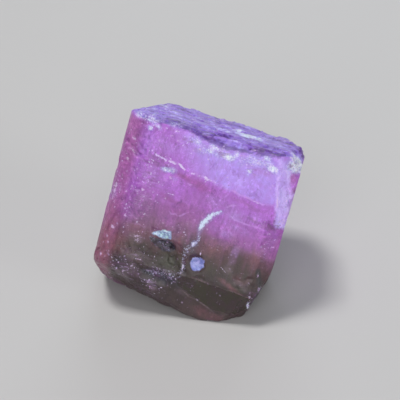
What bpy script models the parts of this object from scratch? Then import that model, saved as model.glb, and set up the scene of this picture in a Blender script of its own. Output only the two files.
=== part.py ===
"""A stub of elbaite tourmaline: one natural crystal, a worn prism with a fractured top and back.

The stub stands on its broken base, so its long axis leans to the right and away from the front.
"""

import math
import random

import bmesh
import bpy
from mathutils import Matrix, Vector, noise

MM = 0.001
NAME = "crystal"

# The long axis as it leans, and how far the prism is turned about it.
LEAN_RIGHT = 0.262
LEAN_AWAY = 0.33
TURN = -7.0
# The middle of the prism. X and Y bring the middle of the whole stub over the origin.
CORE = Vector((-0.313, -1.187, 8.6)) * MM
# A block longer each way than the stub, from which its faces are cut.
BLOCK = 50.0 * MM

# Prism faces: degrees round the long axis, where 0 is the right-hand side and -90 the front, and
# distance from the core in mm. Tourmaline's two prisms make faces every 30 degrees.
PRISM = {
    "front": (-90, 6.6),
    "front_right": (-58, 10.05),
    "right": (0, 9.9),
    "back_right": (30, 10.1),
    "back": (90, 8.5),
    "back_left": (150, 10.3),
    "left": (180, 9.3),
    "left_round": (-148, 10.35),
    "front_left": (-120, 9.2),
    "front_left_round": (-104, 8.0),
}
# Faces that end the prism: degrees round the axis, degrees of tilt up the axis, and distance in mm.
ENDS = {
    "top": (-60, 89, 9.45),
    "upper_front": (-89.5, 4, 6.92),
    "shoulder": (-52, 9, 10.8),
    "corner": (-5, 45, 12.9),
    "top_left": (170, 60, 12.2),
    "top_back": (80, 50, 12.4),
    "foot": (-90, -25, 8.98),
    "foot_left": (-112, -56, 10.8),
    "foot_right": (-50, -33, 12.1),
    "under_left": (83, -74.5, 9.3),
    "left_corner": (-166, -40, 12.7),
    "low_right": (-5, -16, 10.85),
    "low_back": (95, -38, 12.4),
}
EDGE_WEAR = 0.16 * MM

# Striations: shallow grooves up the prism faces, with the half-width in mm of the band they fill on each.
STRIATED = {
    "front": 7.0,
    "front_left": 2.2,
    "left": 4.6,
    "back_left": 3.4,
    "front_right": 2.2,
    "right": 4.4,
    "back_right": 3.6,
}
STRIATION_GAP = (0.55, 1.5)
STRIATION_WIDTH = (0.16, 0.42)
STRIATION_DEPTH = (0.03, 0.075)
STRIATION_LENGTH = 40.0

# The fractured top: layers that run across it, each broken down by its own depth in mm and tilt in degrees.
LEDGES = 20
LEDGE_WIDTH = (0.7, 1.9)
LEDGE_LENGTH = (5.0, 13.0)
LEDGE_DEPTH = (0.1, 0.55)
LEDGE_TILT = 11.0
LEDGE_SKEW = 9.0
LEDGE_HEIGHT = 4.0
LEDGE_ACROSS = (-8.0, 8.5)
LEDGE_AWAY = (-6.4, 8.2)
LEDGE_UNEVEN = 0.35

# Chips: face, place right and up on it, sizes right, up and deep into it, and turn in degrees, in mm.
CHIPS = [
    ("front", 1.6, 9.35, 4.6, 1.15, 1.0, -3),
    ("front", -2.9, 9.45, 1.6, 0.45, 0.35, 4),
    ("front", 6.2, 8.95, 1.9, 0.7, 0.45, -12),
    ("front", 1.6, 7.7, 1.5, 0.6, 0.2, -8),
    ("front", -1.35, -5.1, 2.35, 2.15, 0.5, 20),
    ("front", -2.45, -2.35, 1.15, 0.5, 0.3, -14),
    ("front", -1.45, -3.3, 1.05, 0.42, 0.62, -8),
    ("front", 1.95, -4.3, 0.85, 0.85, 0.3, 12),
    ("front", 1.75, -0.1, 0.3, 1.7, 0.16, -24),
    ("front", -3.5, 4.5, 0.75, 0.3, 0.14, -10),
    ("corner", 0.0, 0.2, 1.6, 1.0, 0.35, 20),
    ("foot_right", 1.9, -0.4, 0.5, 1.3, 0.22, -8),
    ("foot", -2.6, -4.6, 2.6, 1.0, 0.3, -8),
    ("left", 0.5, 6.6, 1.9, 1.3, 0.35, 30),
    ("back_right", -0.6, 2.0, 1.5, 2.4, 0.4, 15),
    ("right", 1.5, -4.2, 2.2, 1.4, 0.4, -20),
]
# The back and the underside broke off in wide shallow shells, given in the same way.
SHELLS = [
    ("back", -5.2, 4.2, 5.6, 4.8, 0.75, 10),
    ("back", 3.4, 5.0, 6.0, 4.4, 0.6, -18),
    ("back", -1.6, -1.8, 6.6, 4.0, 0.95, 6),
    ("back", 5.4, -4.0, 4.6, 4.4, 0.7, 25),
    ("back", -6.2, -4.8, 4.2, 3.6, 0.55, -12),
    ("under_left", 7.2, -1.5, 2.8, 3.6, 0.4, 15),
    ("under_left", 4.6, 4.6, 3.0, 2.2, 0.35, -25),
    ("under_left", 9.4, 3.0, 2.0, 2.6, 0.3, 40),
    ("low_back", 2.5, 0.6, 4.0, 2.2, 0.45, 10),
    ("low_back", -4.5, 0.4, 3.6, 2.0, 0.4, -8),
]
# Pits scattered in bands: face, middle of the band right and up, its half-width and half-height, count.
PIT_BANDS = [
    ("front_left", 0.2, 1.0, 1.3, 7.0, 16),
    ("front", -5.9, 1.5, 0.9, 7.0, 12),
    ("front", -0.6, -7.0, 2.6, 0.4, 7),
    ("front", 3.4, 7.6, 3.4, 0.8, 8),
]
PIT_RADIUS = (0.09, 0.2)

# How a break's surface departs from smooth: waves per unit of its size, and their height as a share of it.
BREAK_WAVES = ((1.6, 0.2), (4.0, 0.07))

COLOUR = (0.42, 0.19, 0.44, 1.0)
ROUGHNESS = 0.3


def axes():
    """Unit vectors across, away and along: the long axis, and the two square to it."""
    along = Vector((LEAN_RIGHT, LEAN_AWAY, math.sqrt(1 - LEAN_RIGHT**2 - LEAN_AWAY**2)))
    right = Vector((1, 0, 0))
    across = (right - along * right.dot(along)).normalized()
    return across, along.cross(across), along


def facing(azimuth, tilt=0.0):
    """The outward normal of a face at this azimuth round the long axis and this tilt up it."""
    across, away, along = axes()
    turn = math.radians(azimuth + TURN)
    rise = math.radians(tilt)
    level = across * math.cos(turn) + away * math.sin(turn)
    return level * math.cos(rise) + along * math.sin(rise)


def face_of(name):
    """The normal of a named face and its distance from the core in mm."""
    if name in PRISM:
        azimuth, distance = PRISM[name]
        return facing(azimuth), distance
    azimuth, tilt, distance = ENDS[name]
    return facing(azimuth, tilt), distance


def on_face(name, right, up):
    """A frame on a named face: X to the right along it, Y up it, Z out of it, at this place in mm."""
    normal, distance = face_of(name)
    along = axes()[2]
    side = along.cross(normal).normalized()
    rise = normal.cross(side)
    spot = CORE + (normal * distance + side * right + rise * up) * MM
    turned = Matrix((side, rise, normal)).transposed()
    return Matrix.Translation(spot) @ turned.to_4x4()


def cut_flat(mesh, point, normal):
    """Cuts away everything beyond a plane and closes the cut with one flat face."""
    parts = mesh.verts[:] + mesh.edges[:] + mesh.faces[:]
    cut = bmesh.ops.bisect_plane(mesh, geom=parts, plane_co=point, plane_no=normal, clear_outer=True)
    rim = [part for part in cut["geom_cut"] if isinstance(part, bmesh.types.BMEdge)]
    if rim:
        bmesh.ops.contextual_create(mesh, geom=rim)


def prism_body(collection):
    """A block cut by every crystal face in turn and by the surface it stands on, its edges a little worn."""
    mesh = bmesh.new()
    bmesh.ops.create_cube(mesh, size=BLOCK, matrix=Matrix.Translation(CORE))
    for name in list(PRISM) + list(ENDS):
        normal, distance = face_of(name)
        cut_flat(mesh, CORE + normal * distance * MM, normal)
    cut_flat(mesh, Vector((0, 0, 0)), Vector((0, 0, -1)))
    bmesh.ops.recalc_face_normals(mesh, faces=mesh.faces)
    body = new_object(NAME, mesh, collection)
    wear = body.modifiers.new("worn edges", "BEVEL")
    wear.width = EDGE_WEAR
    wear.segments = 2
    wear.limit_method = "ANGLE"
    wear.angle_limit = math.radians(18)
    return body


def new_object(name, mesh, collection):
    """An object of this name that holds the mesh, which is freed."""
    data = bpy.data.meshes.new(name)
    mesh.to_mesh(data)
    mesh.free()
    made = bpy.data.objects.new(name, data)
    collection.objects.link(made)
    return made


def new_cutter(name, mesh, collection):
    """A helper that is cut away from the crystal and never drawn."""
    made = new_object(name, mesh, collection)
    made.display_type = "WIRE"
    made.hide_render = True


def groove(name, frame, width, depth, collection):
    """A long shallow V of this width and depth in mm, cut with a flattened square bar that stands on edge."""
    mesh = bmesh.new()
    bmesh.ops.create_cube(mesh, size=1.0, matrix=Matrix.Rotation(math.radians(45), 4, "Y"))
    half = math.sqrt(0.5)
    size = Matrix.Diagonal((width / 2 / half * MM, STRIATION_LENGTH * MM, depth / half * MM, 1))
    bmesh.ops.transform(mesh, matrix=frame @ size, verts=mesh.verts)
    new_cutter(name, mesh, collection)


def striation_cutters(collection):
    """Grooves at uneven gaps across each striated face, each running its whole height."""
    chance = random.Random(11)
    for face, reach in STRIATED.items():
        right = -reach
        while right < reach:
            frame = on_face(face, right, 0)
            width = chance.uniform(*STRIATION_WIDTH)
            depth = chance.uniform(*STRIATION_DEPTH)
            groove(f"striation {face} {right:.1f}", frame, width, depth, collection)
            right += chance.uniform(*STRIATION_GAP)


def ledge(name, frame, length, width, chance, collection):
    """A slab with uneven corners that lies on the top, its tapered ends fading out of the surface."""
    mesh = bmesh.new()
    bmesh.ops.create_cube(mesh, size=1.0, matrix=Matrix.Translation((0, 0, 0.5)))
    for vert in mesh.verts:
        vert.co.x *= chance.uniform(0.8, 1.2)
        vert.co.y *= chance.uniform(0.75, 1.35)
        if vert.co.z < 0.5:
            vert.co.z += chance.uniform(0.0, LEDGE_UNEVEN) / LEDGE_HEIGHT
    slab = Matrix.Diagonal((length * MM, width * MM, LEDGE_HEIGHT * MM, 1))
    bmesh.ops.transform(mesh, matrix=frame @ slab, verts=mesh.verts)
    new_cutter(name, mesh, collection)


def ledge_cutters(collection):
    """Slabs scattered over the top from front to back, so that their edges make ledges that run across it."""
    chance = random.Random(5)
    across, away, along = axes()
    normal, distance = face_of("top")
    turned = Matrix((across, away, along)).transposed().to_4x4()
    front, back = LEDGE_AWAY
    for count in range(LEDGES):
        width = chance.uniform(*LEDGE_WIDTH)
        length = chance.uniform(*LEDGE_LENGTH)
        sink = chance.uniform(*LEDGE_DEPTH)
        middle = CORE + normal * (distance - sink) * MM
        middle += across * chance.uniform(*LEDGE_ACROSS) * MM
        middle += away * (front + (back - front) * count / (LEDGES - 1)) * MM
        tilt = Matrix.Rotation(math.radians(chance.uniform(-LEDGE_TILT, LEDGE_TILT)), 4, "X")
        skew = Matrix.Rotation(math.radians(chance.uniform(-LEDGE_SKEW, LEDGE_SKEW)), 4, "Z")
        frame = Matrix.Translation(middle) @ turned @ skew @ tilt
        ledge(f"ledge {count}", frame, length, width, chance, collection)


def scoop(name, frame, sizes, turn, collection, fineness=3):
    """A rough flattened ball that bites to the given depth: half-sizes right and up, and the depth, in mm."""
    right, up, deep = sizes
    # A cap of this depth on a ball that is flattened to twice the depth has these half-sizes.
    flat = 2 * deep
    spread = 1 / math.sqrt(1 - (1 - deep / flat) ** 2)
    mesh = bmesh.new()
    bmesh.ops.create_icosphere(mesh, subdivisions=fineness, radius=1.0)
    seed = Vector((len(name) * 1.7, right * 3.1, up * 2.3))
    for vert in mesh.verts:
        rough = sum(noise.noise(vert.co * waves + seed) * height for waves, height in BREAK_WAVES)
        vert.co *= 1 + rough
    size = Matrix.Diagonal((right * spread * MM, up * spread * MM, flat * MM, 1))
    lift = Matrix.Translation((0, 0, (flat - deep) * MM))
    spin = Matrix.Rotation(math.radians(turn), 4, "Z")
    bmesh.ops.transform(mesh, matrix=frame @ lift @ spin @ size, verts=mesh.verts)
    new_cutter(name, mesh, collection)


def chip_cutters(collection):
    """The chips and bruises that wear has knocked from the faces and edges."""
    for count, (face, right, up, wide, high, deep, turn) in enumerate(CHIPS):
        scoop(f"chip {count}", on_face(face, right, up), (wide, high, deep), turn, collection)


def shell_cutters(collection):
    """The wide shells that broke from the back and the underside."""
    for count, (face, right, up, wide, high, deep, turn) in enumerate(SHELLS):
        frame = on_face(face, right, up)
        scoop(f"shell {count}", frame, (wide, high, deep), turn, collection, fineness=4)


def pit_cutters(collection):
    """Small pits, scattered in the speckled bands."""
    chance = random.Random(23)
    for band, (face, right, up, wide, high, count) in enumerate(PIT_BANDS):
        for number in range(count):
            spot_right = right + chance.uniform(-wide, wide)
            spot_up = up + chance.uniform(-high, high)
            radius = chance.uniform(*PIT_RADIUS)
            sizes = (radius * chance.uniform(0.8, 1.8), radius, radius * 0.6)
            turn = chance.uniform(-60, 60)
            frame = on_face(face, spot_right, spot_up)
            scoop(f"pit {band} {number}", frame, sizes, turn, collection, fineness=1)


def cutter_group(name, make, parent):
    """Makes a group of cutters in a collection of its own, inside the one that holds all the cutters."""
    group = bpy.data.collections.new(name)
    parent.children.link(group)
    make(group)


def cut_away(body, cutters):
    """Takes all the cutters from the body in one cut, after its faces are made triangles, quite flat."""
    body.modifiers.new("flat faces", "TRIANGULATE")
    cut = body.modifiers.new("breaks and grooves", "BOOLEAN")
    cut.operation = "DIFFERENCE"
    cut.solver = "EXACT"
    cut.operand_type = "COLLECTION"
    cut.collection = cutters


def crystal_material():
    """Pink to purple crystal, a little dulled by wear."""
    material = bpy.data.materials.new("tourmaline")
    material.use_nodes = True
    shader = material.node_tree.nodes["Principled BSDF"]
    shader.inputs["Base Color"].default_value = COLOUR
    shader.inputs["Roughness"].default_value = ROUGHNESS
    shader.inputs["Metallic"].default_value = 0.0
    return material


def main():
    for old in list(bpy.data.objects):
        bpy.data.objects.remove(old, do_unlink=True)
    scene = bpy.context.scene
    part = bpy.data.collections.new("tourmaline crystal")
    cutters = bpy.data.collections.new("cutters")
    scene.collection.children.link(part)
    scene.collection.children.link(cutters)
    cutters.hide_render = True
    body = prism_body(part)
    cutter_group("striations", striation_cutters, cutters)
    cutter_group("ledges", ledge_cutters, cutters)
    cutter_group("shells", shell_cutters, cutters)
    cutter_group("chips", chip_cutters, cutters)
    cutter_group("pits", pit_cutters, cutters)
    cut_away(body, cutters)
    body.data.materials.append(crystal_material())


main()
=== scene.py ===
"""A stub of elbaite tourmaline that stands on its broken base, pink above and grey-olive below."""

import math

import bpy
import numpy as np
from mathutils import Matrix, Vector


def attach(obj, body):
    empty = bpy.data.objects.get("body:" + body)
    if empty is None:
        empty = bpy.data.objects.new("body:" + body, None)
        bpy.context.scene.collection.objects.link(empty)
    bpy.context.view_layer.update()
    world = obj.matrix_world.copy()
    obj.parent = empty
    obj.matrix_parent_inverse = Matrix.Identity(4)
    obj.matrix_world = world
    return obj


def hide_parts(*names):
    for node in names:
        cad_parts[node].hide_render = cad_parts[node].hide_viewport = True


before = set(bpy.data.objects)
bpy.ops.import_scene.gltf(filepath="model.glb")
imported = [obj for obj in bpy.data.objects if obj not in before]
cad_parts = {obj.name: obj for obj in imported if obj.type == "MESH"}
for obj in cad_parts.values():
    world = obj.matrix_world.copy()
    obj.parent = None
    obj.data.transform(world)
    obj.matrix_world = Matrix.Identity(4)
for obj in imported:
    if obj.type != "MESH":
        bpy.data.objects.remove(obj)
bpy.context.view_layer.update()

MM = 0.001

# The crystal is one squat prism of tourmaline, grown in one piece. Its long axis leans to the right and
# away. Below, a place in it is three distances in mm from its core: across it, away from the front, and
# along its axis, in which every face, break and marking is laid out.
LEAN_RIGHT = 0.262
LEAN_AWAY = 0.33
TURN = -7.0
CORE = np.array((-0.313, -1.187, 8.6))

ALONG = np.array((LEAN_RIGHT, LEAN_AWAY, math.sqrt(1 - LEAN_RIGHT**2 - LEAN_AWAY**2)))
ACROSS = np.array((1.0, 0.0, 0.0)) - ALONG * ALONG[0]
ACROSS /= np.linalg.norm(ACROSS)
AWAY = np.cross(ALONG, ACROSS)
GROWN = np.array((ACROSS, AWAY, ALONG))

# Faces: degrees round the axis, where -90 looks to the front and 0 to the right, degrees of tilt up the
# axis, and mm from the core. Tourmaline's two prisms give a face every 30 degrees, and the rest are
# where the stub broke or wore.
FACES = {
    "front": (-90, 0, 6.6),
    "front_right": (-58, 0, 10.05),
    "right": (0, 0, 9.9),
    "back_right": (30, 0, 10.1),
    "back": (90, 0, 8.5),
    "back_left": (150, 0, 10.4),
    "left": (180, 0, 9.35),
    "left_round": (-148, 0, 10.4),
    "front_left": (-120, 0, 9.25),
    "front_left_round": (-104, 0, 8.03),
    "upper_front": (-89.5, 4, 6.92),
    "shoulder": (-52, 9, 10.8),
    "top": (-60, 89, 9.5),
    "top_left": (170, 60, 12.35),
    "corner": (-5, 45, 12.95),
    "top_back": (80, 50, 12.4),
    "foot": (-90, -17.6, 8.12),
    "foot_left": (-112, -56, 10.85),
    "foot_right": (-50, -33, 12.15),
    "under_left": (83, -74.5, 9.3),
    "left_corner": (-166, -40, 12.75),
    "low_right": (-5, -16, 10.85),
    "low_back": (95, -38, 12.4),
}
FACE_NAMES = list(FACES)
STANDS_ON = len(FACES)


def facing(azimuth, tilt=0.0):
    """A face's outward normal: cos of its azimuth across, sin of it away, and its tilt up the axis."""
    turn = math.radians(azimuth + TURN)
    rise = math.radians(tilt)
    return np.array((math.cos(turn) * math.cos(rise), math.sin(turn) * math.cos(rise), math.sin(rise)))


def on_face(name, right=0.0, up=0.0):
    """A spot on a face this far right and up it from the foot of the core's normal, and the face's own
    right, up and outward directions."""
    azimuth, tilt, distance = FACES[name]
    normal = facing(azimuth, tilt)
    side = np.cross((0.0, 0.0, 1.0), normal)
    side /= np.linalg.norm(side)
    rise = np.cross(normal, side)
    return normal * distance + side * right + rise * up, side, rise, normal


# The last face is the surface that the stub stands on, straight below in the room.
NORMALS = np.array([facing(azimuth, tilt) for azimuth, tilt, _ in FACES.values()] + [-GROWN[:, 2]])
DISTANCES = np.array([distance for _, _, distance in FACES.values()] + [CORE[2]])


def outside_faces(points, wear):
    """How far each point is outside the faces in mm, with edges worn round by wear: the soft maximum
    wear * log(sum of exp(distance / wear)) of its distances from the faces. Also each face's share in it."""
    out = points @ NORMALS.T - DISTANCES
    most = out.max(axis=1, keepdims=True)
    weight = np.exp((out - most) / wear)
    total = weight.sum(axis=1, keepdims=True)
    return most[:, 0] + wear[:, 0] * np.log(total[:, 0]), weight / total


def step(low, high, value):
    """0 below low, 1 above high and an even S between, 3t^2 - 2t^3. Low may be the greater one."""
    t = np.clip((value - low) / (high - low), 0, 1)
    return t * t * (3 - 2 * t)


def chance(cell, seed):
    """A chance number from 0 to 1 for each whole-numbered cell, by mixing the bits of its three numbers."""
    mixed = cell[:, 0] * 374761393 + cell[:, 1] * 668265263 + cell[:, 2] * 2147483629 + seed * 974711
    mixed &= 0xFFFFFFFF
    mixed = ((mixed ^ (mixed >> 13)) * 1274126177) & 0xFFFFFFFF
    mixed = ((mixed ^ (mixed >> 15)) * 2246822519) & 0xFFFFFFFF
    return ((mixed ^ (mixed >> 16)) & 0xFFFFFF) / 0xFFFFFF


SKEWED = np.array(((0.8, 0.36, -0.48), (-0.6, 0.48, -0.64), (0.0, 0.8, 0.6)))


def uneven(points, size, seed):
    """Smooth chance heights from -1 to 1 in hills of this size in mm, which may differ by direction: each
    corner of a lattice has a chance height, and between corners they are eased by 6f^5 - 15f^4 + 10f^3."""
    scaled = points / np.asarray(size, float)
    if np.ndim(size) == 0:
        scaled = scaled @ SKEWED
    scaled = scaled + 17.31 * seed
    cell = np.floor(scaled)
    ease = scaled - cell
    ease = ease**3 * (ease * (ease * 6 - 15) + 10)
    corner = cell.astype(np.int64)
    heights = np.zeros(len(points))
    for count in range(8):
        offset = np.array((count & 1, count >> 1 & 1, count >> 2))
        share = np.abs(1 - offset - ease).prod(axis=1)
        heights += (chance(corner + offset, seed) * 2 - 1) * share
    return heights


def flakes(points, size, seed, tilt=1.0):
    """Flat chance facets of this size in mm, as on broken stone: each point takes the height, -1 to 1, of a
    tilted plane through the nearest of a lattice of jittered spots. Also how near it is to that spot."""
    scaled = points / np.asarray(size, float) @ SKEWED + 9.7 * seed
    cell = np.floor(scaled).astype(np.int64)
    nearest = np.full(len(points), np.inf)
    height = np.zeros(len(points))
    for count in range(27):
        other = cell + np.array((count % 3, count // 3 % 3, count // 9)) - 1
        jitter = np.stack([chance(other, seed + 7 * axis) for axis in range(3)], 1)
        away = scaled - other - jitter
        distance = np.sqrt((away**2).sum(axis=1))
        slope = np.stack([chance(other, seed + 31 + 5 * axis) for axis in range(3)], 1) * 2 - 1
        plane = chance(other, seed + 61) * 2 - 1 + tilt * (away * slope).sum(axis=1)
        closer = distance < nearest
        nearest = np.where(closer, distance, nearest)
        height = np.where(closer, plane, height)
    return height, nearest


def teeth(distance, riser=0.14):
    """A saw's edge from 0 to 1 over each unit of distance, which falls back over the last part, the riser."""
    part = distance - np.floor(distance)
    return np.where(part < 1 - riser, part / (1 - riser), (1 - part) / riser)


# Breaks in the faces, each a flattened ball's bite: face, place right and up on it, sizes right, up and
# deep into it, and turn in degrees, in mm. First the chips and bruises of the front and sides, then the
# wide shells in which the back and the underside broke away.
CHIPS = [
    ("front", 1.6, 9.35, 4.6, 1.15, 1, -3),
    ("front", -2.9, 9.45, 1.6, 0.45, 0.35, 4),
    ("front", 6.2, 8.95, 1.9, 0.7, 0.45, -12),
    ("front", 1.6, 7.7, 1.5, 0.6, 0.2, -8),
    ("front", -1.35, -5.1, 2.35, 2.15, 0.32, 20),
    ("front", -2.45, -2.35, 1.15, 0.5, 0.3, -14),
    ("front", -1.45, -3.3, 1.05, 0.42, 0.62, -8),
    ("front", 1.95, -4.3, 0.85, 0.85, 0.3, 12),
    ("front", -3.5, 4.5, 0.75, 0.3, 0.14, -10),
    ("corner", 0, 0.2, 1.6, 1, 0.35, 20),
    ("foot_right", 1.9, -0.4, 0.5, 1.3, 0.22, -8),
    ("foot", -2.6, -4.6, 2.6, 1, 0.3, -8),
    ("left", 0.5, 6.6, 1.9, 1.3, 0.35, 30),
    ("back_right", -0.6, 2, 1.5, 2.4, 0.4, 15),
    ("right", 1.5, -4.2, 2.2, 1.4, 0.4, -20),
    ("top_back", 3.6, 0.2, 3.4, 1.3, 0.45, 0),
]
SHELLS = [
    ("back", -5.2, 4.2, 5.6, 4.8, 0.75, 10),
    ("back", 3.4, 5, 6, 4.4, 0.6, -18),
    ("back", -1.6, -1.8, 6.6, 4, 0.95, 6),
    ("back", 5.4, -4, 4.6, 4.4, 0.7, 25),
    ("back", -6.2, -4.8, 4.2, 3.6, 0.55, -12),
    ("under_left", 7.2, -1.5, 2.8, 3.6, 0.4, 15),
    ("under_left", 4.6, 4.6, 3, 2.2, 0.35, -25),
    ("under_left", 9.4, 3, 2, 2.6, 0.3, 40),
    ("low_back", 2.5, 0.6, 4, 2.2, 0.45, 10),
    ("low_back", -4.5, 0.4, 3.6, 2, 0.4, -8),
]


class Break:
    """A bite of the given depth out of a face by a ball that is flattened to twice that depth."""

    def __init__(self, face, right, up, wide, high, deep, turn, seed):
        spot, side, rise, normal = on_face(face, right, up)
        swing = math.radians(turn)
        spread = 1 / math.sqrt(1 - 0.5**2)
        self.middle = spot + normal * deep
        self.ways = np.array((
            side * math.cos(swing) + rise * math.sin(swing),
            rise * math.cos(swing) - side * math.sin(swing),
            normal,
        ))
        self.sizes = np.array((wide * spread, high * spread, 2 * deep))
        self.seed = seed

    def near(self, points):
        """The indices of the points that it may reach, with a quarter more for its roughness."""
        return np.flatnonzero(np.linalg.norm(points - self.middle, axis=1) < self.sizes.max() * 1.25)

    def inside(self, points):
        """How far inside it the points are, in mm: its roughened radius less theirs, times its depth."""
        unit = (points - self.middle) @ self.ways.T / self.sizes
        radius = np.linalg.norm(unit, axis=1)
        way = unit / np.maximum(radius, 1e-6)[:, None]
        rough = 0.13 * uneven(way, 0.62, self.seed) + 0.045 * uneven(way, 0.25, self.seed + 1)
        return (1 + rough - radius) * self.sizes[2]


BREAKS = [Break(*chip, seed=50 + 3 * count) for count, chip in enumerate(CHIPS + SHELLS)]


def lattice(counts):
    """The surface of a block of this many cells each way: six sheets, each a grid over two of its
    directions, with the points on its edges shared. Gives points from -1 to 1 and four-cornered cells."""
    counts = np.array(counts)
    corners = []
    cells = []
    start = 0
    for axis in range(3):
        first, second = (axis + 1) % 3, (axis + 2) % 3
        one, two = np.meshgrid(np.arange(counts[first] + 1), np.arange(counts[second] + 1), indexing="ij")
        number = np.arange(one.size).reshape(one.shape)
        ring = np.stack((number[:-1, :-1], number[1:, :-1], number[1:, 1:], number[:-1, 1:]), -1)
        ring = ring.reshape(-1, 4)
        for end in (0, counts[axis]):
            place = np.zeros((one.size, 3), int)
            place[:, axis] = end
            place[:, first] = one.ravel()
            place[:, second] = two.ravel()
            corners.append(place)
            cells.append((ring if end else ring[:, ::-1]) + start)
            start += one.size
    corners = np.concatenate(corners)
    key = (corners[:, 0] * (counts[1] + 1) + corners[:, 1]) * (counts[2] + 1) + corners[:, 2]
    _, index, inverse = np.unique(key, return_index=True, return_inverse=True)
    return corners[index] / counts * 2 - 1, inverse.reshape(-1)[np.concatenate(cells)]


BLOCK_CELLS = (150, 96, 140)
BLOCK_HALF = (10.0, 7.7, 9.2)
directions, cells = lattice(BLOCK_CELLS)
rays = directions * BLOCK_HALF
rays /= np.linalg.norm(rays, axis=1, keepdims=True)

# Where each ray from the core leaves the unworn faces. It never leaves one that it doesn't rise towards.
LEVEL = 1e-6
towards = rays @ NORMALS.T
lengths = np.where(towards > LEVEL, DISTANCES / np.maximum(towards, LEVEL), np.inf).min(axis=1)
skin = rays * lengths[:, None]

# The left-hand edges are worn softly round, the others less.
wear = (0.06 + 0.12 * step(-5.5, -9, skin[:, 0]) * step(6.5, 4, skin[:, 1]))[:, None]
_, share = outside_faces(skin, wear)
share_of = dict(zip(FACE_NAMES, share.T))


def shares(*names):
    """The faces' shares in each point, added up."""
    return sum(share_of[name] for name in names)


prism = shares(*FACE_NAMES[:4], *FACE_NAMES[5:12])
rough_back = shares("back", "low_back", "top_back", "under_left")
topmost = shares("top", "top_left", "corner")
lower = shares("foot_left", "foot_right", "left_corner", "low_right")

# How near a true edge is: the second greatest distance, where faces that bend by a few degrees are one.
MILD = {"upper_front": "front", "front_left_round": "front", "shoulder": "front_right"}
apart = skin @ NORMALS.T - DISTANCES
for bent, flat in MILD.items():
    bent, flat = FACE_NAMES.index(bent), FACE_NAMES.index(flat)
    apart[:, flat] = np.maximum(apart[:, flat], apart[:, bent])
    apart[:, bent] = -np.inf
edge = step(-0.75, -0.05, np.sort(apart, axis=1)[:, -2])

_, FRONT_SIDE, _, FRONT_NORMAL = on_face("front")


def spots(one, two, ovals, spread=1.0):
    """How much of a marking there is at each point, 0 to 1: the most of its soft ovals, each given by its
    place in the two directions, its half-sizes, its strength in its middle and, if it is turned, its turn
    in degrees. Spread makes them all larger."""
    amount = np.zeros(len(one))
    for middle_one, middle_two, half_one, half_two, strength, *turn in ovals:
        swing = math.radians(turn[0]) if turn else 0
        over_one = one - middle_one
        over_two = two - middle_two
        first = (over_one * math.cos(swing) + over_two * math.sin(swing)) / half_one
        second = (over_two * math.cos(swing) - over_one * math.sin(swing)) / half_two
        amount = np.maximum(amount, strength * step(1.35, 0.1, np.hypot(first, second) / spread))
    return amount


# Bruises along the front's upper rim and at its corner, where the stone is crushed white: right and up on
# the front, half-sizes, strength and turn.
BRUISES = [
    (-8.1, 9.3, 0.5, 0.25, 0.7), (-7.5, 9.25, 0.5, 0.2, 0.6, -5), (-6.9, 9.3, 0.35, 0.2, 0.8),
    (-6.3, 9.05, 0.5, 0.22, 0.75, -20), (-5.8, 8.8, 0.35, 0.18, 0.7, -30), (-6.55, 8.4, 0.22, 0.22, 0.9),
    (-4.3, 9.3, 0.5, 0.16, 0.6), (-3.8, 9.3, 0.4, 0.15, 0.6), (-1.6, 8.4, 0.7, 0.4, 0.6, -10),
    (-1.2, 8.3, 0.3, 0.2, 0.8), (-0.7, 7.8, 0.5, 0.6, 0.55), (0.5, 8.25, 0.6, 0.25, 0.8, -10),
    (0.2, 7.8, 0.45, 0.3, 0.8), (1.1, 7.6, 0.5, 0.25, 0.7, -10), (2.2, 7.7, 0.6, 0.28, 1, -5),
    (1.6, 7.9, 1.3, 0.5, 0.55, -8), (2.9, 8.1, 0.4, 0.28, 0.8, 60), (3.6, 7.4, 0.55, 0.3, 0.5, 10),
    (4.4, 8.3, 0.5, 0.25, 0.6), (5.5, 8.1, 1, 0.5, 0.5), (6.15, 8.65, 0.45, 0.28, 0.8),
    (6.95, 7.8, 0.55, 0.3, 1, -15), (6.4, 8.1, 0.5, 0.35, 0.7), (4.7, 6.9, 0.28, 0.2, 0.8),
    (4.65, 6.5, 0.2, 0.35, 0.5), (8.85, 9.5, 0.4, 0.35, 1, -30), (9.6, 9.4, 0.35, 0.35, 1),
    (9.2, 8.8, 0.5, 0.3, 1, -30), (9.3, 8.5, 0.7, 0.5, 1.15), (9.1, 2.2, 0.3, 0.3, 0.55),
    (5.2, 8, 1.4, 0.35, 0.65), (4, 7.9, 0.8, 0.3, 0.6), (1.1, -2.3, 0.16, 0.3, 0.85, -20),
    (0.72, -3.3, 0.12, 0.22, 0.6, 30), (0.6, -4.3, 0.08, 0.25, 0.5), (0.65, -5.1, 0.1, 0.3, 0.85),
    (0.35, -5.9, 0.22, 0.1, 0.7, 40), (9.8, 8.6, 0.25, 0.4, 0.8), (8.7, 9, 0.4, 0.35, 0.55),
    (-3.7, 4.6, 0.5, 0.2, 1), (-3.2, 4.7, 0.4, 0.28, 0.8), (-2.7, 3.9, 0.3, 0.15, 0.4),
    (8.6, -6.9, 0.12, 0.25, 0.5), (8.5, -7.5, 0.14, 0.45, 0.9, 10), (8.75, -6.2, 0.3, 0.2, 0.35),
]


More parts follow.
